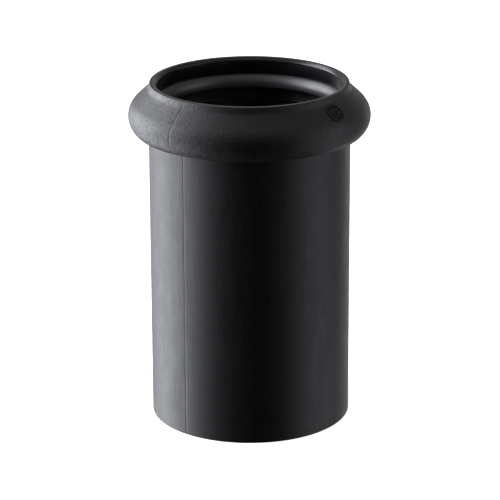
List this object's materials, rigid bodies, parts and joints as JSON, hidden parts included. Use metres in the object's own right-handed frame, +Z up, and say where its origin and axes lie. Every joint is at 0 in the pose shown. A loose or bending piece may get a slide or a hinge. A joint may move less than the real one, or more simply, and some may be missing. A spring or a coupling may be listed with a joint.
{
  "type": "push fit coupling",
  "caption": "Tubular push fit pipe coupling with a rounded seal bead at its mouth, a lip seal inside the bead and a plain lower end.",
  "frame": {"origin": "centre of the plain lower end, on the face that it stands on", "axes": "+Z up along the bore axis, from the plain end to the mouth; -Y towards the viewer's side, between the mould parting line at the left and the moulded dial at the right"},
  "size_m": [0.1464, 0.1464, 0.21],
  "materials": {
    "polyethylene": "black polyethylene, finely mottled moulded surface with a satin sheen",
    "elastomer": "dark grey elastomer, smooth with fine concentric moulding lines"
  },
  "bodies": {
    "root": {"socket_body": "polyethylene", "lip_seal": "elastomer"}
  },
  "joints": []
}
